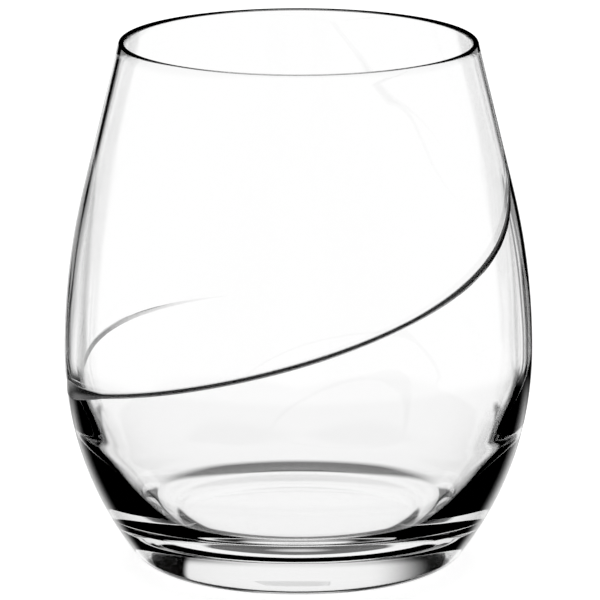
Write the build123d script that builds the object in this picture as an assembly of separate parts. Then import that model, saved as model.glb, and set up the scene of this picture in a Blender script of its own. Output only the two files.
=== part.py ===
from build123d import *

import os
from math import atan, atan2, cos, pi, radians, sin, sqrt

# Stemless wine glass with one spiral line cut round its outside.
# Millimetres, +Z up. The origin is the middle of the foot, on the table.

# Outside of the glass
HEIGHT = 104.0            # table to the top of the lip
BELLY_DIAMETER = 91.7     # widest circle
BELLY_HEIGHT = 42.6       # table to the widest circle
RIM_DIAMETER = 70.2       # outside of the lip
STRAIGHT_LENGTH = 30.0    # straight run of the side, below the lip
FOOT_DIAMETER = 52.8      # outside of the flat ring that the glass stands on
HEEL_RADIUS = 7.8         # round edge between the foot and the side

# Inside of the glass
LIP_THICKNESS = 1.3       # wall at the lip
BELLY_WALL = 2.4          # wall at the widest circle
BOWL_RADIUS = 47.4        # curve of the wall from the widest circle down to the floor's corner
FLOOR_HEIGHT = 9.1        # table to the floor of the cup
FLOOR_CORNER = 14.6       # round corner between the floor and the wall

# Underside
FOOT_RING_WIDTH = 2.4     # flat ring in contact with the table
PUNT_DEPTH = 0.15         # hollow under the base

# Where the base, the bowl and the rim meet
BASE_HEIGHT = 20.0        # top of the thick base
RIM_HEIGHT = 2.5          # rounded lip, below the top

# Spiral line, cut with a round-nosed wheel; angles are counter-clockwise from +X, seen from above
WHEEL_RADIUS = 0.5        # nose of the cutting wheel
CUT_DEPTH = 0.22          # full depth of the line
CUT_CLEARANCE = 0.06      # gap between wheel and glass where the line begins and ends
CUT_START_ANGLE = 92.0
CUT_LOW_ANGLE = 184.0
CUT_END_ANGLE = 360.0
CUT_FADE_IN = 75.0        # degrees over which the line deepens
CUT_FADE_OUT = 14.0       # degrees over which it runs out
CUT_DROP = 6.25           # lowest point of the line, below the widest circle
CUT_START_RISE = 6.2      # height that the line keeps towards its beginning, above its lowest point
CUT_START_BEND = 0.2      # share of that way at which half the height is reached
CUT_RISE = 38.9           # steady climb of the line from its lowest point
CUT_RISE_POWER = 1.485
CUT_FLICK = 9.6           # extra climb at the very end
CUT_FLICK_POWER = 12
CUT_STEPS = 17            # points along the line

belly_radius = BELLY_DIAMETER / 2
inner_radius = belly_radius - BELLY_WALL
rim_radius = RIM_DIAMETER / 2
foot_radius = FOOT_DIAMETER / 2
ring_radius = foot_radius - FOOT_RING_WIDTH
lip_radius = LIP_THICKNESS / 2
lip_middle = (rim_radius - lip_radius, HEIGHT - lip_radius)
DOWN = -pi / 2

# The floor's flat middle ends where its corner, rolled along the floor, touches the curve of the wall.
corner_drop = BELLY_HEIGHT - FLOOR_HEIGHT - FLOOR_CORNER
floor_radius = inner_radius - BOWL_RADIUS + sqrt((BOWL_RADIUS - FLOOR_CORNER) ** 2 - corner_drop ** 2)

# Upper side: an arc that leaves the vertical at the widest circle, then a straight run to the lip.
# The inside leans as the outside does, so its straight run follows from the wall's two thicknesses.
climb = lip_middle[1] - BELLY_HEIGHT
half_lean_slope = (belly_radius - rim_radius) / (climb + STRAIGHT_LENGTH)
lean = 2 * atan(half_lean_slope)
inner_inset = inner_radius + lip_radius - lip_middle[0]
inner_straight = inner_inset / half_lean_slope - climb
outer_bend = (climb - STRAIGHT_LENGTH * cos(lean)) / sin(lean) + lip_radius
inner_bend = (climb - inner_straight * cos(lean)) / sin(lean) - lip_radius
bend_end = BELLY_HEIGHT + outer_bend * sin(lean)


def lower_side(widest_radius, end, corner):
    """Centre and radius of the large arc from the widest circle down to a round corner, which ends level
    at a point of the half section, and the direction in which the two arcs meet."""
    inset = widest_radius - end[0]
    drop = BELLY_HEIGHT - end[1] - corner
    radius = (inset ** 2 + drop ** 2 - corner ** 2) / (2 * (inset - corner))
    centre = (widest_radius - radius, BELLY_HEIGHT)
    meeting = atan2(-drop, end[0] - centre[0])
    return centre, radius, meeting


def spot(centre, radius, direction):
    """Point of the half section in a direction from a centre, as radius from the axis and height."""
    return centre[0] + radius * cos(direction), centre[1] + radius * sin(direction)


def arc(centre, radius, first, last):
    """Arc round a centre, from one direction to another, in the XZ plane."""
    places = [spot(centre, radius, direction) for direction in (first, (first + last) / 2, last)]
    return ThreePointArc(*[(across, 0, height) for across, height in places])


def line(first, last):
    return Line((first[0], 0, first[1]), (last[0], 0, last[1]))


def side_edges(widest_radius, bend, end, corner, lip_end):
    """Outside or inside of the glass, from a level point at the foot or floor up to the lip."""
    centre, radius, meeting = lower_side(widest_radius, end, corner)
    bend_centre = (widest_radius - bend, BELLY_HEIGHT)
    return [
        arc((end[0], end[1] + corner), corner, DOWN, meeting),
        arc(centre, radius, meeting, 0),
        arc(bend_centre, bend, 0, lean),
        line(spot(bend_centre, bend, lean), lip_end),
    ]


def glass_outline():
    """Half section of the whole glass, closed along the axis."""
    foot = (foot_radius, 0)
    floor = (floor_radius, FLOOR_HEIGHT)
    lip_outside = spot(lip_middle, lip_radius, lean)
    lip_inside = spot(lip_middle, -lip_radius, lean)
    edges = side_edges(belly_radius, outer_bend, foot, HEEL_RADIUS, lip_outside)
    edges += side_edges(inner_radius, inner_bend, floor, FLOOR_CORNER, lip_inside)
    edges.append(arc(lip_middle, lip_radius, lean, lean + pi))

    # Underside: flat foot ring and shallow punt
    punt_sphere = (ring_radius ** 2 + PUNT_DEPTH ** 2) / (2 * PUNT_DEPTH)
    punt_centre = (0, PUNT_DEPTH - punt_sphere)
    ring_direction = atan2(-punt_centre[1], ring_radius)
    edges.append(line(foot, (ring_radius, 0)))
    edges.append(arc(punt_centre, punt_sphere, ring_direction, pi / 2))

    # Axis and floor
    edges.append(line((0, PUNT_DEPTH), (0, FLOOR_HEIGHT)))
    edges.append(line((0, FLOOR_HEIGHT), floor))
    return make_face(edges)


def side_radius(height):
    """Outside radius of the glass at a height between the heel and the lip."""
    if height > bend_end:
        inset = outer_bend * (1 - cos(lean)) + (height - bend_end) * sin(lean) / cos(lean)
        return belly_radius - inset
    if height > BELLY_HEIGHT:
        centre, radius = (belly_radius - outer_bend, BELLY_HEIGHT), outer_bend
    else:
        centre, radius, meeting = lower_side(belly_radius, (foot_radius, 0), HEEL_RADIUS)
    return centre[0] + sqrt(radius ** 2 - (height - centre[1]) ** 2)


def cut_height(angle):
    """Height of the spiral line at an angle: down to its lowest point, then up with a flick."""
    lowest = BELLY_HEIGHT - CUT_DROP
    if angle < CUT_LOW_ANGLE:
        share = (CUT_LOW_ANGLE - angle) / (CUT_LOW_ANGLE - CUT_START_ANGLE)
        return lowest + CUT_START_RISE * share ** 2 / (share ** 2 + CUT_START_BEND ** 2)
    share = (angle - CUT_LOW_ANGLE) / (CUT_END_ANGLE - CUT_LOW_ANGLE)
    return lowest + CUT_RISE * share ** CUT_RISE_POWER + CUT_FLICK * share ** CUT_FLICK_POWER


def cut_depth(angle):
    """Depth of the spiral line at an angle; below zero, the wheel is clear of the glass."""
    begun = min(1.0, (angle - CUT_START_ANGLE) / CUT_FADE_IN)
    left = min(1.0, (CUT_END_ANGLE - angle) / CUT_FADE_OUT)
    return (CUT_DEPTH + CUT_CLEARANCE) * begun * left - CUT_CLEARANCE


def spiral_cut():
    """Path of the wheel's nose round the side, as a thin round bar to be taken away."""
    points = []
    for step in range(CUT_STEPS + 1):
        angle = CUT_START_ANGLE + (CUT_END_ANGLE - CUT_START_ANGLE) * step / CUT_STEPS
        height = cut_height(angle)
        radius = side_radius(height) + WHEEL_RADIUS - cut_depth(angle)
        points.append((radius * cos(radians(angle)), radius * sin(radians(angle)), height))
    path = Spline(*points)
    nose = Plane(origin=path @ 0, z_dir=path % 0) * Circle(WHEEL_RADIUS)
    return sweep(nose, path=path)


def build():
    glass = revolve(glass_outline(), Axis.Z)
    base_top = Plane.XY.offset(BASE_HEIGHT)
    rim_bottom = Plane.XY.offset(HEIGHT - RIM_HEIGHT)
    wall = split(glass, bisect_by=base_top, keep=Keep.TOP)
    return {
        "base": split(glass, bisect_by=base_top, keep=Keep.BOTTOM),
        "bowl": split(wall, bisect_by=rim_bottom, keep=Keep.BOTTOM) - spiral_cut(),
        "rim": split(wall, bisect_by=rim_bottom, keep=Keep.TOP),
    }


os.makedirs("parts", exist_ok=True)
for node, solid in build().items():
    export_step(solid, f"parts/{node}.step")
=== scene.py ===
# %% [markdown]
# A stemless wine glass, clear and colourless, with a heavy base and one spiral line cut round it.
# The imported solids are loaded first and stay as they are. They fix the frame, in metres with +Z up
# and the origin under the middle of the foot, and the box that the finished glass has to fit.

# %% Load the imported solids
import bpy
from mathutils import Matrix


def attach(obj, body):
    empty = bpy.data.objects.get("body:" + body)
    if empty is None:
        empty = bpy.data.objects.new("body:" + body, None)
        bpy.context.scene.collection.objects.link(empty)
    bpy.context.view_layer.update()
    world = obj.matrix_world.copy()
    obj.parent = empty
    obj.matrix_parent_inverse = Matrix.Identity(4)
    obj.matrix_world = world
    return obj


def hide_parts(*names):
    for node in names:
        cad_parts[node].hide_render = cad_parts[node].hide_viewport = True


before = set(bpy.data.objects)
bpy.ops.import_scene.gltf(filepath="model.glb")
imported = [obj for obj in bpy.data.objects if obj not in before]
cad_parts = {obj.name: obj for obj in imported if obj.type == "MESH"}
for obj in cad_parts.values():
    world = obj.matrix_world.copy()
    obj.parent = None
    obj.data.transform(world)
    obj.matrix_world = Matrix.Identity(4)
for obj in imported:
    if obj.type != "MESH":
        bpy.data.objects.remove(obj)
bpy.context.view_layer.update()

print("packed nodes:", sorted(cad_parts))

# %% [markdown]
# The real glass is one piece of glass, so one closed mesh stands for base, bowl and rim together.
# Three meshes that touch would show their joints as dark rings, because light would leave one and
# enter the next. The measures below describe half of a section through the glass.

# %% Measures of the half section
from math import asin, atan, atan2, cos, exp, pi, radians, sin, sqrt

import bmesh
import bpy
from mathutils import Vector

MM = 0.001
HEIGHT = 104.0 * MM
BELLY_RADIUS = 45.85 * MM
BELLY_HEIGHT = 42.6 * MM
RIM_RADIUS = 35.1 * MM
STRAIGHT_LENGTH = 30.0 * MM
FOOT_RADIUS = 26.4 * MM
HEEL_RADIUS = 7.8 * MM
LIP_RADIUS = 0.65 * MM
BELLY_WALL = 2.4 * MM
BOWL_RADIUS = 47.4 * MM
FLOOR_HEIGHT = 9.1 * MM
FLOOR_CORNER = 14.6 * MM
FOOT_RING_WIDTH = 2.4 * MM
PUNT_DEPTH = 0.15 * MM

INNER_RADIUS = BELLY_RADIUS - BELLY_WALL
corner_drop = BELLY_HEIGHT - FLOOR_HEIGHT - FLOOR_CORNER
FLOOR_RADIUS = INNER_RADIUS - BOWL_RADIUS + sqrt((BOWL_RADIUS - FLOOR_CORNER) ** 2 - corner_drop ** 2)
LIP_MIDDLE = (RIM_RADIUS - LIP_RADIUS, HEIGHT - LIP_RADIUS)
print("height", HEIGHT, "width", 2 * BELLY_RADIUS)

# %% [markdown]
# Above its widest circle the side is an arc and then a straight run that leans in to the lip. The
# inside leans by the same angle, and its bend follows from the wall at the belly and at the lip.

# %% Bends of the upper side
climb = LIP_MIDDLE[1] - BELLY_HEIGHT
half_lean_slope = (BELLY_RADIUS - RIM_RADIUS) / (climb + STRAIGHT_LENGTH)
lean = 2 * atan(half_lean_slope)
inner_straight = (INNER_RADIUS + LIP_RADIUS - LIP_MIDDLE[0]) / half_lean_slope - climb
outer_bend = (climb - STRAIGHT_LENGTH * cos(lean)) / sin(lean) + LIP_RADIUS
inner_bend = (climb - inner_straight * cos(lean)) / sin(lean) - LIP_RADIUS
print("lean of the lip in degrees:", round(lean / radians(1), 2))

# %% [markdown]
# Below its widest circle the side is one large arc that runs into a tight corner: the heel outside,
# the floor's corner inside. Radius and meeting point follow from the two ends of the side.

# %% Arcs of the lower side


def lower_side(widest_radius, end, corner):
    """Radius of the large arc below the widest circle, and the direction in which it meets its corner."""
    inset = widest_radius - end[0]
    drop = BELLY_HEIGHT - end[1] - corner
    radius = (inset ** 2 + drop ** 2 - corner ** 2) / (2 * (inset - corner))
    return radius, atan2(-drop, end[0] - widest_radius + radius)


outer_arc, heel_turn = lower_side(BELLY_RADIUS, (FOOT_RADIUS, 0.0), HEEL_RADIUS)
inner_arc, floor_turn = lower_side(INNER_RADIUS, (FLOOR_RADIUS, FLOOR_HEIGHT), FLOOR_CORNER)
print("large arcs outside and inside in mm:", round(outer_arc / MM, 1), round(inner_arc / MM, 1))

# %% [markdown]
# The section is drawn as with a pen. A single vertex is spun round the centre of each arc, which
# leaves an edge for every step, and is extruded along each straight run. A curve object with handles
# would do too, but the arcs then would not be true circles, and glass shows every small dent.

# %% A pen for arcs and straight runs


def draw_arc(section, pen, centre, turn, steps):
    """Carries the pen round a centre by an angle, and gives its new end."""
    swing = bmesh.ops.spin(section, geom=[pen], cent=(centre[0], 0, centre[1]), axis=(0, -1, 0),
                           angle=turn, steps=steps, use_merge=False)
    return [part for part in swing["geom_last"] if isinstance(part, bmesh.types.BMVert)][0]


def draw_line(section, pen, end, steps):
    """Carries the pen straight to a point of the section, and gives its new end."""
    start = pen.co.copy()
    for step in range(1, steps + 1):
        pen = bmesh.ops.extrude_vert_indiv(section, verts=[pen])["verts"][0]
        pen.co = start.lerp((end[0], 0, end[1]), step / steps)
    return pen


# %% [markdown]
# The rows of the mesh lie closest where the spiral line will be pressed in. Those fine rows start out
# level on a guide circle, half-way up the line's climb, and are bent to its course later.

# %% Draw the half section
GUIDE_TURN = radians(6.6)       # direction of the guide circle from the bend's centre
FINE_TURN = radians(0.8)        # half the band of fine rows
FINE_ROWS = 36
bend_centre = (BELLY_RADIUS - outer_bend, BELLY_HEIGHT)
inner_bend_centre = (INNER_RADIUS - inner_bend, BELLY_HEIGHT)
ring_radius = FOOT_RADIUS - FOOT_RING_WIDTH
punt_sphere = (ring_radius ** 2 + PUNT_DEPTH ** 2) / (2 * PUNT_DEPTH)
punt_turn = asin(ring_radius / punt_sphere)
lip_outside = (LIP_MIDDLE[0] + LIP_RADIUS * cos(lean), LIP_MIDDLE[1] + LIP_RADIUS * sin(lean))

section = bmesh.new()
pen = section.verts.new((0, 0, PUNT_DEPTH))
pen = draw_arc(section, pen, (0, PUNT_DEPTH - punt_sphere), -punt_turn, 8)
pen = draw_line(section, pen, (FOOT_RADIUS, 0), 4)
pen = draw_arc(section, pen, (FOOT_RADIUS, HEEL_RADIUS), heel_turn + pi / 2, 10)
pen = draw_arc(section, pen, (BELLY_RADIUS - outer_arc, BELLY_HEIGHT), -heel_turn, 30)
pen = draw_arc(section, pen, bend_centre, GUIDE_TURN - FINE_TURN, 12)
pen = draw_arc(section, pen, bend_centre, 2 * FINE_TURN, FINE_ROWS)
pen = draw_arc(section, pen, bend_centre, lean - GUIDE_TURN - FINE_TURN, 12)
pen = draw_line(section, pen, lip_outside, 18)
pen = draw_arc(section, pen, LIP_MIDDLE, pi, 12)
pen = draw_line(section, pen, (inner_bend_centre[0] + inner_bend * cos(lean),
                               BELLY_HEIGHT + inner_bend * sin(lean)), 12)
pen = draw_arc(section, pen, inner_bend_centre, -lean, 20)
pen = draw_arc(section, pen, (INNER_RADIUS - inner_arc, BELLY_HEIGHT), floor_turn, 72)
pen = draw_arc(section, pen, (FLOOR_RADIUS, FLOOR_HEIGHT + FLOOR_CORNER), -floor_turn - pi / 2, 20)
pen = draw_line(section, pen, (0, FLOOR_HEIGHT), 8)
print("rows in the half section:", len(section.edges))

# %% [markdown]
# A full spin about the axis turns the section into the glass, as a mould and a turning pipe do with
# the real one. The two ends on the axis are merged into one vertex each, and then the normals are
# made to point out of the glass, because refraction depends on them.

# %% Turn the section into the glass
SEGMENTS = 320
bmesh.ops.spin(section, geom=section.verts[:] + section.edges[:], cent=(0, 0, 0), axis=(0, 0, 1),
               angle=2 * pi, steps=SEGMENTS, use_merge=True)
bmesh.ops.remove_doubles(section, verts=section.verts, dist=1e-7)
bmesh.ops.recalc_face_normals(section, faces=section.faces)
print("faces of the turned glass:", len(section.faces))

# %% [markdown]
# Inside, blown glass is never quite even. Where the thick base passes into the wall, a soft ridge runs
# along both sides, steeper below than above and higher on the right. It shows as the uneven edge of the
# dark sides, and it fades out at the front and the back.

# %% Soft ridge inside the wall
RIDGE_HEIGHT = 29.5 * MM
RIDGE_ABOVE, RIDGE_BELOW = 6.0 * MM, 2.4 * MM
RIDGE_RIGHT, RIDGE_LEFT = 0.35 * MM, 0.28 * MM
RIDGE_FADE = 4
RIDGE_FROM, RIDGE_TO = FLOOR_HEIGHT + MM, 1.2 * BELLY_HEIGHT


def ridge(height, sideways):
    """How far the ridge stands out at a height; sideways goes from -1 on the left to 1 on the right."""
    reach = RIDGE_ABOVE if height > RIDGE_HEIGHT else RIDGE_BELOW
    size = RIDGE_RIGHT if sideways > 0 else RIDGE_LEFT
    return size * sideways ** RIDGE_FADE * exp(-((height - RIDGE_HEIGHT) / reach) ** 2)


raised = 0
for vertex in section.verts:
    across = sqrt(vertex.co.x ** 2 + vertex.co.y ** 2)
    if RIDGE_FROM < vertex.co.z < RIDGE_TO and across < INNER_RADIUS:
        inward = ridge(vertex.co.z, vertex.co.x / across)
        vertex.co.x *= 1 - inward / across
        vertex.co.y *= 1 - inward / across
        raised += 1
print("vertices in reach of the ridge:", raised)

# %% [markdown]
# The outer side is measured by the length of glass from the widest circle: below zero under it. With
# that one number a row can slide along the side and still lie on the true surface.

# %% Lengths along the outer side
bend_length = outer_bend * lean
side_top = bend_length + STRAIGHT_LENGTH
side_bottom = outer_arc * heel_turn


def side_length(height):
    """Length along the outer side from the widest circle to a height."""
    rise = height - BELLY_HEIGHT
    if rise < 0:
        return outer_arc * asin(rise / outer_arc)
    if rise < outer_bend * sin(lean):
        return outer_bend * asin(rise / outer_bend)
    return bend_length + (rise - outer_bend * sin(lean)) / cos(lean)


def side_spot(length):
    """Radius and height of the outer side at a length, and how far its outward normal points up."""
    if length < 0:
        tilt, radius = length / outer_arc, outer_arc
    else:
        tilt, radius = min(length, bend_length) / outer_bend, outer_bend
    beyond = max(0.0, length - bend_length)
    across = BELLY_RADIUS - radius * (1 - cos(tilt)) - beyond * sin(tilt)
    return across, BELLY_HEIGHT + radius * sin(tilt) + beyond * cos(tilt), tilt


print("outer side from", round(side_bottom / MM, 1), "to", round(side_top / MM, 1), "mm")

# %% [markdown]
# The spiral line is a cut made with a round-nosed wheel. It starts at the back, dips below the widest
# circle on the left, climbs across the front and flicks upwards where it runs out on the right. At its
# left turn and its right end it is broader and duller, like a stroke of a brush, with darker painted shade.
# It is pressed into the glass as a real groove, because a painted line would not bend the light, and its
# dark look is painted shade on top.

# %% Course and depth of the spiral line
WHEEL = ((92.0, 1.0), (150.0, 1.2), (174.0, 1.8), (182.0, 7.0), (194.0, 7.0), (206.0, 2.8), (214.0, 0.8),
         (300.0, 0.8), (350.0, 2.2), (452.0, 2.2))
# A broader wheel also deepens the line's painted shade, not only its satin.
COARSE = 0.4     # how much more each millimetre of a broader wheel dulls the glass
CUT_DEPTH = 0.22 * MM
CUT_CLEARANCE = 0.06 * MM
CUT_START, CUT_LOW, CUT_END = 92.0, 184.0, 360.0     # degrees round from +X
CUT_FADE_IN, CUT_FADE_OUT = 75.0, 14.0
CUT_LOWEST = BELLY_HEIGHT - 6.25 * MM
CUT_START_RISE, CUT_START_BEND = 6.2 * MM, 0.2
CUT_RISE, CUT_RISE_POWER = 38.9 * MM, 1.485
CUT_FLICK, CUT_FLICK_POWER = 9.6 * MM, 12


def cut_height(angle):
    """Height of the line at an angle in degrees; past its end it comes back, uncut, to its start."""
    if angle > CUT_END:
        back = (angle - CUT_END) / (CUT_START + 360 - CUT_END)
        ends = CUT_LOWEST + CUT_RISE + CUT_FLICK, cut_height(CUT_START)
        return ends[0] + (ends[1] - ends[0]) * (1 - cos(pi * back)) / 2
    if angle < CUT_LOW:
        share = (CUT_LOW - angle) / (CUT_LOW - CUT_START)
        return CUT_LOWEST + CUT_START_RISE * share ** 2 / (share ** 2 + CUT_START_BEND ** 2)
    share = (angle - CUT_LOW) / (CUT_END - CUT_LOW)
    return CUT_LOWEST + CUT_RISE * share ** CUT_RISE_POWER + CUT_FLICK * share ** CUT_FLICK_POWER


def cut_depth(angle):
    """Depth of the line at an angle; it deepens slowly at the back and runs out on the right."""
    begun = min(1.0, (angle - CUT_START) / CUT_FADE_IN)
    left = min(1.0, (CUT_END - angle) / CUT_FADE_OUT)
    return max(0.0, (CUT_DEPTH + CUT_CLEARANCE) * begun * left - CUT_CLEARANCE)


def wheel_radius(angle):
    """Radius of the wheel's nose at an angle, between the stops of WHEEL in degrees and mm."""
    for (first, start), (last, end) in zip(WHEEL, WHEEL[1:]):
        if angle <= last:
            return (start + (end - start) * (angle - first) / (last - first)) * MM
    return WHEEL[-1][1] * MM


print("lowest point of the line in mm:", round(CUT_LOWEST / MM, 1))

# %% [markdown]
# Each column of the mesh is treated on its own. Its rows slide along the side until the guide circle
# lies on the line, all the way in the fine band and less and less towards heel and lip. Then the fine
# rows sink in by the shape of the wheel. An attribute keeps how deep each vertex lies in the cut, more for
# a broader wheel; it sets the line's satin and its painted shade.

# %% Press the spiral line into the side
SLOPE_STEP = 0.5     # degrees over which the line's slope is measured
ON_SIDE = 0.1 * MM   # how close a vertex of the outer side lies to it
guide_length = outer_bend * GUIDE_TURN
fine_length = outer_bend * FINE_TURN
cut_share = section.verts.layers.float.new("cut")


def slide_share(length):
    """How much of its column's slide a row takes part in."""
    if length < guide_length - fine_length:
        return (length - side_bottom) / (guide_length - fine_length - side_bottom)
    if length > guide_length + fine_length:
        return (side_top - length) / (side_top - guide_length - fine_length)
    return 1.0


def press_line(vertex):
    """Slides a vertex of the outer side with its column and sinks it into the groove."""
    angle = atan2(vertex.co.y, vertex.co.x) / radians(1) % 360
    angle += 360 if angle < CUT_START else 0
    middle = side_length(cut_height(angle))
    length = side_length(vertex.co.z)
    length += (middle - guide_length) * slide_share(length)
    radius, height, tilt = side_spot(length)
    ahead = side_length(cut_height(angle + SLOPE_STEP)) - middle
    aslant = atan2(ahead, radius * radians(SLOPE_STEP))
    nose = wheel_radius(angle)
    apart = min(nose, abs(length - middle) * cos(aslant))
    sunk = max(0.0, cut_depth(angle) - nose + sqrt(nose ** 2 - apart ** 2))
    radius -= sunk * cos(tilt)
    dulled_and_shaded = 1 + COARSE * max(0.0, nose / MM - 1)
    # This share sets the satin and also the line's painted shade, darker for a broader wheel.
    vertex[cut_share] = min(1.0, dulled_and_shaded * sunk / CUT_DEPTH)
    turn = radians(angle)
    vertex.co = (radius * cos(turn), radius * sin(turn), height - sunk * sin(tilt))
    if sunk == 0:
        smooth_side[vertex.index] = Vector((cos(tilt) * cos(turn), cos(tilt) * sin(turn), sin(tilt)))


section.verts.index_update()
smooth_side = {}
heel_top = side_spot(side_bottom)[1]
side_end = side_spot(side_top)[1]
side_vertices = []
for vertex in section.verts:
    if heel_top < vertex.co.z < side_end:
        across = sqrt(vertex.co.x ** 2 + vertex.co.y ** 2)
        outside = side_spot(side_length(vertex.co.z))[0]
        if abs(across - outside) < ON_SIDE:
            side_vertices.append(vertex)
for vertex in side_vertices:
    press_line(vertex)
print("vertices of the outer side:", len(side_vertices))

# %% [markdown]
# The mesh becomes an object at the origin, smooth all over, that rides on the one body and stands for
# all three solids. Where fine rows meet coarse ones, averaged normals would draw a faint line in the
# glass, so the smooth side is given the normals of the true surface, and only the groove keeps the
# averaged ones.

# %% The finished body of the glass
mesh = bpy.data.meshes.new("glass_body")
section.to_mesh(mesh)
section.free()
for face in mesh.polygons:
    face.use_smooth = True
true_normals = [vertex.normal.copy() for vertex in mesh.vertices]
for index, normal in smooth_side.items():
    true_normals[index] = normal
mesh.normals_split_custom_set_from_vertices(true_normals)
glass_body = bpy.data.objects.new("glass_body", mesh)
bpy.context.collection.objects.link(glass_body)
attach(glass_body, "root")
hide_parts("base", "bowl", "rim")
print("triangles:", sum(len(face.vertices) - 2 for face in mesh.polygons))

# %% [markdown]
# The finish is fire-polished soda-lime glass: clear, smooth, and bending light with an index of 1.5.
# Two things break up its evenness. The surface waves a little, as blown glass does, which a bump from
# slow noise gives. And the cut line was left as the wheel ground it, so it is satin, which the attribute on
# the mesh tells the shader; the same attribute paints the line near black, as painted shade.

# %% Clear glass with a satin cut line in painted shade
clear_glass = bpy.data.materials.new("clear_glass")
clear_glass.use_nodes = True
nodes, links = clear_glass.node_tree.nodes, clear_glass.node_tree.links
shader = nodes["Principled BSDF"]
shader.inputs["Transmission Weight"].default_value = 1.0
shader.inputs["IOR"].default_value = 1.5

cut = nodes.new("ShaderNodeAttribute")
cut.attribute_name = "cut"
places = nodes.new("ShaderNodeTexCoord")

# Painted shade: with its depth the cut line goes from clear to near black in colour and reflection,
# standing in for light the groove turns aside.
cut_painted_shade = nodes.new("ShaderNodeValToRGB")
cut_painted_shade.color_ramp.elements[0].color = (1.0, 1.0, 1.0, 1)
cut_painted_shade.color_ramp.elements[0].position = 0.0
cut_painted_shade.color_ramp.elements[1].color = (0.001, 0.001, 0.001, 1)
cut_painted_shade.color_ramp.elements[1].position = 0.8
links.new(cut.outputs["Fac"], cut_painted_shade.inputs["Fac"])
links.new(cut_painted_shade.outputs["Color"], shader.inputs["Base Color"])
links.new(cut_painted_shade.outputs["Color"], shader.inputs["Specular Tint"])

satin = nodes.new("ShaderNodeMapRange")
satin.inputs["From Max"].default_value = 0.3
satin.inputs["To Max"].default_value = 0.25
links.new(cut.outputs["Fac"], satin.inputs["Value"])
links.new(satin.outputs["Result"], shader.inputs["Roughness"])

waves = nodes.new("ShaderNodeTexNoise")
waves.inputs["Scale"].default_value = 45.0
waves.inputs["Detail"].default_value = 1.0
links.new(places.outputs["Object"], waves.inputs["Vector"])
wavy = nodes.new("ShaderNodeBump")
wavy.inputs["Strength"].default_value = 0.03
wavy.inputs["Distance"].default_value = 0.002
links.new(waves.outputs["Fac"], wavy.inputs["Height"])
links.new(wavy.outputs["Normal"], shader.inputs["Normal"])
mesh.materials.append(clear_glass)
print("finish:", clear_glass.name, "with", len(nodes), "nodes")

# %% [markdown]
# The studio is drawn by small formulas made of nodes. Three helpers keep those readable: one adds a math
# node, one a soft step between two values, and one a row of levels along a value.

# %% Helpers for node formulas


def node_math(tree, operation, *values):
    """A math node; each value is a number or another node's output."""
    node = tree.nodes.new("ShaderNodeMath")
    node.operation = operation
    for place, value in enumerate(values):
        if isinstance(value, bpy.types.NodeSocket):
            tree.links.new(value, node.inputs[place])
        else:
            node.inputs[place].default_value = value
    return node.outputs[0]


def soft_step(tree, value, start, end):
    """From 0 at start to 1 at end, smoothly."""
    node = tree.nodes.new("ShaderNodeMapRange")
    node.interpolation_type = "SMOOTHSTEP"
    tree.links.new(value, node.inputs["Value"])
    node.inputs["From Min"].default_value = min(start, end)
    node.inputs["From Max"].default_value = max(start, end)
    node.inputs["To Min"].default_value = 0.0 if start < end else 1.0
    node.inputs["To Max"].default_value = 1.0 if start < end else 0.0
    return node.outputs["Result"]


def level_ramp(tree, value, reach, stops):
    """Levels between stops along a value that goes from 0 to its reach."""
    ramp = tree.nodes.new("ShaderNodeValToRGB")
    while len(ramp.color_ramp.elements) < len(stops):
        ramp.color_ramp.elements.new(1.0)
    for stop, (place, level) in zip(ramp.color_ramp.elements, stops):
        stop.position = place / reach
        stop.color = (level, level, level, 1)
    tree.links.new(node_math(tree, "DIVIDE", value, reach), ramp.inputs["Fac"])
    return ramp.outputs["Color"]


print("helpers for the studio are ready")

# %% [markdown]
# The floor is a plain white sheet. Most of its white is its own, as on a lit table, so it stays even
# in every view, and the rest is lamp light, in which the glass leaves a soft shadow.

# %% Plain pale floor
FLOOR_HALF = 4.0
FLOOR_GAP = 0.05 * MM     # keeps the sheet just clear of the foot
FLOOR_OWN_WHITE = 0.86
sheet = bmesh.new()
bmesh.ops.create_grid(sheet, x_segments=1, y_segments=1, size=FLOOR_HALF)
bmesh.ops.translate(sheet, verts=sheet.verts, vec=(0, 0, -FLOOR_GAP))
floor_mesh = bpy.data.meshes.new("floor")
sheet.to_mesh(floor_mesh)
sheet.free()
floor = bpy.data.objects.new("floor", floor_mesh)
bpy.context.collection.objects.link(floor)
floor.visible_glossy = False

white_sheet = bpy.data.materials.new("white_sheet")
white_sheet.use_nodes = True
sheet_shader = white_sheet.node_tree.nodes["Principled BSDF"]
sheet_shader.inputs["Base Color"].default_value = (0.8, 0.8, 0.8, 1)
sheet_shader.inputs["Roughness"].default_value = 1.0
sheet_shader.inputs["Specular IOR Level"].default_value = 0.0
sheet_shader.inputs["Emission Color"].default_value = (1, 1, 1, 1)
sheet_shader.inputs["Emission Strength"].default_value = FLOOR_OWN_WHITE
floor_mesh.materials.append(white_sheet)
print("floor half width in m:", FLOOR_HALF)

# %% [markdown]
# Clear glass on a sheet that is white on all sides would have no dark edge and would hardly show. So light
# that went through the glass passes the sheet by and shows the studio round it. The sheet itself is plain.

# %% Let light from the glass pass the sheet
tree = white_sheet.node_tree
passing = tree.nodes.new("ShaderNodeBsdfTransparent")
sheet_path = tree.nodes.new("ShaderNodeLightPath")
either = tree.nodes.new("ShaderNodeMixShader")
tree.links.new(sheet_path.outputs["Is Transmission Ray"], either.inputs["Fac"])
tree.links.new(sheet_shader.outputs["BSDF"], either.inputs[1])
tree.links.new(passing.outputs["BSDF"], either.inputs[2])
tree.links.new(either.outputs["Shader"], tree.nodes["Material Output"].inputs["Surface"])
print("floor nodes:", len(tree.nodes))

# %% [markdown]
# One broad lamp hangs over the glass and lights the floor. The glass itself does not mirror it, since
# the pictured studio shows no lamp in the glass.

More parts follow.
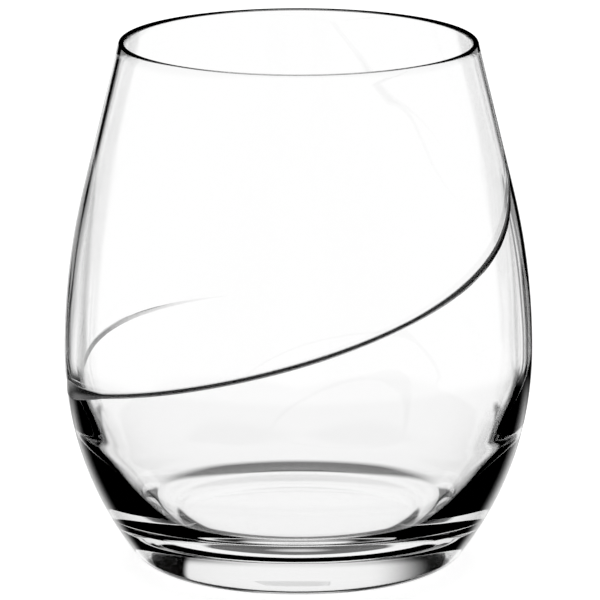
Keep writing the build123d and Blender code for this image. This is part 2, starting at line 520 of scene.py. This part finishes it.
# %% Soft lamp overhead
lamp_data = bpy.data.lights.new("soft_lamp", "AREA")
lamp_data.shape = "DISK"
lamp_data.size = 1.6
lamp_data.energy = 14.0
lamp = bpy.data.objects.new("soft_lamp", lamp_data)
lamp.location = (0, 0.2, 1.6)
lamp.visible_glossy = False
lamp.visible_transmission = False
bpy.context.collection.objects.link(lamp)
print("lamp height in m:", lamp.location.z)

# %% [markdown]
# Clear glass is drawn by what stands round it. Here a bright panel stands behind it and the rest of
# the studio is dark, so light that went straight through is white and light that was turned aside
# inside the glass is black: the dark edges and the dark base. The world's nodes find the direction of
# each ray, as an angle round from straight behind and an angle above the floor.

# %% Directions in the studio
world = bpy.data.worlds.new("studio")
bpy.context.scene.world = world
world.use_nodes = True
studio = world.node_tree
background = studio.nodes["Background"]


def studio_math(operation, *values):
    """A math node of the studio."""
    return node_math(studio, operation, *values)


looking = studio.nodes.new("ShaderNodeTexCoord")
parts = studio.nodes.new("ShaderNodeSeparateXYZ")
studio.links.new(looking.outputs["Generated"], parts.inputs["Vector"])
across = studio_math("DEGREES", studio_math("ARCTAN2", parts.outputs["X"], parts.outputs["Y"]))
sideways = studio_math("ABSOLUTE", across)
upwards = studio_math("DEGREES", studio_math("ARCSINE", parts.outputs["Z"]))
print("studio nodes:", len(studio.nodes))

# %% [markdown]
# Soft bright fields make the studio: the panel behind the glass, fainter glows above and below it, and a
# band along the horizon at both sides, which widens towards the front. A small field on the right stands
# for the bright line along that edge. Each field is a product of soft steps, so none has a hard rim.

# %% Bright fields in a dark studio


def field(value, side, height, strength):
    """A bright field with soft edges, as two steps sideways along a value and two steps upwards."""
    spread = studio_math("MULTIPLY", *[soft_step(studio, value, *edge) for edge in side])
    rise = studio_math("MULTIPLY", *[soft_step(studio, upwards, *edge) for edge in height])
    return studio_math("MULTIPLY", studio_math("MULTIPLY", spread, rise), strength)


MIDDLE = (-2.0, -1.0)     # a step before zero, for fields that go through the middle
BAND_TOP, BAND_CLIMB_FROM, BAND_CLIMB = (4.0, 0.0), 46.0, 0.2
panel = field(across, ((-40.0, -16.0), (31.5, 28.5)), ((-5.0, 0.0), (20.0, 15.0)), 1.0)
glow_above = field(sideways, (MIDDLE, (20.0, 8.0)), ((14.0, 18.0), (95.0, 20.0)), 0.85)
glow_below = field(sideways, (MIDDLE, (18.0, 14.0)), ((-42.0, -36.0), (-16.0, -20.0)), 1.0)
glow_under = field(sideways, (MIDDLE, (21.0, 17.0)), ((-66.0, -60.0), (-38.0, -42.0)), 0.14)

beyond = studio_math("MAXIMUM", studio_math("SUBTRACT", sideways, BAND_CLIMB_FROM), 0.0)
under_top = studio_math("SUBTRACT", upwards, studio_math("MULTIPLY", beyond, BAND_CLIMB))
left_band = field(across, ((-200.0, -190.0), (-26.0, -30.0)), ((-15.5, -12.5), (50.0, 40.0)), 1.0)
right_band = field(across, ((30.0, 34.0), (200.0, 190.0)), ((-15.5, -12.5), (50.0, 40.0)), 1.0)
band = studio_math("MULTIPLY", studio_math("MAXIMUM", left_band, right_band),
                   soft_step(studio, under_top, *BAND_TOP))
right_edge = field(across, ((20.5, 24.0), (38.0, 34.0)), ((-9.5, -8.0), (4.0, 0.0)), 0.9)
print("studio nodes:", len(studio.nodes))

# %% [markdown]
# Between panel and band stand narrow upright strips, bright and dark in turn and not the same on both
# sides. The wall of the glass bends light round just so far, and these strips draw the fine lines along
# its edges: soft grey ones on the left, crisp black and white ones on the right.

# %% Strips that draw the edges
STRIPS_REACH = 60.0
LEFT_STRIPS = ((0.0, 0.0), (16.0, 0.02), (19.0, 0.2), (22.0, 0.36), (24.5, 0.5), (27.0, 0.8), (33.0, 1.0))
RIGHT_STRIPS = ((0.0, 0.3), (9.0, 0.5), (12.0, 0.9), (15.5, 0.9), (17.5, 0.06), (19.0, 0.0), (21.5, 0.0),
                (23.5, 0.5), (25.0, 1.0), (26.5, 1.0), (28.0, 0.1), (29.5, 0.1), (31.5, 1.0))
left_strips = level_ramp(studio, sideways, STRIPS_REACH, LEFT_STRIPS)
right_strips = level_ramp(studio, sideways, STRIPS_REACH, RIGHT_STRIPS)
on_right = soft_step(studio, across, -1.0, 1.0)
strips = studio_math("ADD", studio_math("MULTIPLY", right_strips, on_right),
                     studio_math("MULTIPLY", left_strips, studio_math("SUBTRACT", 1.0, on_right)))
in_strips = field(sideways, (MIDDLE, (36.0, 32.0)), ((-17.0, -14.5), (-7.0, -9.0)), 1.0)
strips = studio_math("MULTIPLY", strips, in_strips)
print("strips on the left and right:", len(LEFT_STRIPS), len(RIGHT_STRIPS))

# %% [markdown]
# Past the glass the eye sees plain white. Light that came through the glass sees white too, ahead of it, to
# the sides and straight down, so that the thin walls stay clear. Light that only glanced off the outside
# sees no panel and no strips, but a thin gleam round the dark base and on the left. A real studio can't
# sort its light like this; here it stands in for cards and screens that are not known.

# %% What stays white
path = studio.nodes.new("ShaderNodeLightPath")
crossed = path.outputs["Is Transmission Ray"]
not_crossed = studio_math("SUBTRACT", 1.0, crossed)
plain_view = path.outputs["Is Camera Ray"]
low_ahead = field(sideways, (MIDDLE, (34.0, 14.0)), ((-32.0, -24.0), (-14.0, -17.0)), 1.0)
high_ahead = field(across, ((-18.0, -13.0), (12.0, 8.0)), ((-17.0, -14.0), (0.0, -4.0)), 1.0)
left_side = field(across, ((-27.0, -21.0), (-8.0, -10.0)), ((-11.0, -9.5), (-6.6, -7.4)), 0.8)
outer_gleam = studio_math("MAXIMUM", studio_math("MAXIMUM", low_ahead, high_ahead), left_side)
outer_gleam = studio_math("MULTIPLY", not_crossed, outer_gleam)
panel = studio_math("MULTIPLY", panel, crossed)
glow_above = studio_math("MULTIPLY", glow_above, crossed)
strips = studio_math("MULTIPLY", strips, crossed)
ahead = field(sideways, (MIDDLE, (16.0, 12.0)), ((-24.0, -20.0), (-4.0, -8.0)), 1.0)
to_the_sides = field(sideways, ((36.0, 44.0), (200.0, 190.0)), ((-85.0, -80.0), (-8.0, -12.0)), 1.0)
straight_down = soft_step(studio, upwards, -52.0, -60.0)
clear_view = studio_math("MAXIMUM", studio_math("MAXIMUM", ahead, to_the_sides), straight_down)
clear_view = studio_math("MULTIPLY", crossed, clear_view)
white = panel
for part in (glow_above, glow_below, glow_under, band, right_edge, strips, plain_view, outer_gleam,
             clear_view):
    white = studio_math("MAXIMUM", white, part)
studio.links.new(white, background.inputs["Color"])
print("studio nodes:", len(studio.nodes))

# %% [markdown]
# The camera stands well back and looks down a little, with a long lens, so the glass is drawn almost
# without perspective. The small shift puts the glass where the picture has it.

# %% Camera
CAMERA_DISTANCE = 1.5
LOOK_DOWN_TO_RIM = radians(10.8)
CAMERA_PITCH = radians(12.69)
camera_data = bpy.data.cameras.new("camera")
camera_data.sensor_width = 36.0
camera_data.lens = 471.6
camera_data.shift_x = 0.0025
camera = bpy.data.objects.new("camera", camera_data)
above_rim = CAMERA_DISTANCE * sin(LOOK_DOWN_TO_RIM) / cos(LOOK_DOWN_TO_RIM)
camera.location = (0, -CAMERA_DISTANCE, HEIGHT + above_rim)
camera.rotation_euler = (pi / 2 - CAMERA_PITCH, 0, 0)
bpy.context.collection.objects.link(camera)
bpy.context.scene.camera = camera
bpy.context.scene.view_settings.view_transform = "Standard"
print("camera height in m:", round(camera.location.z, 4))
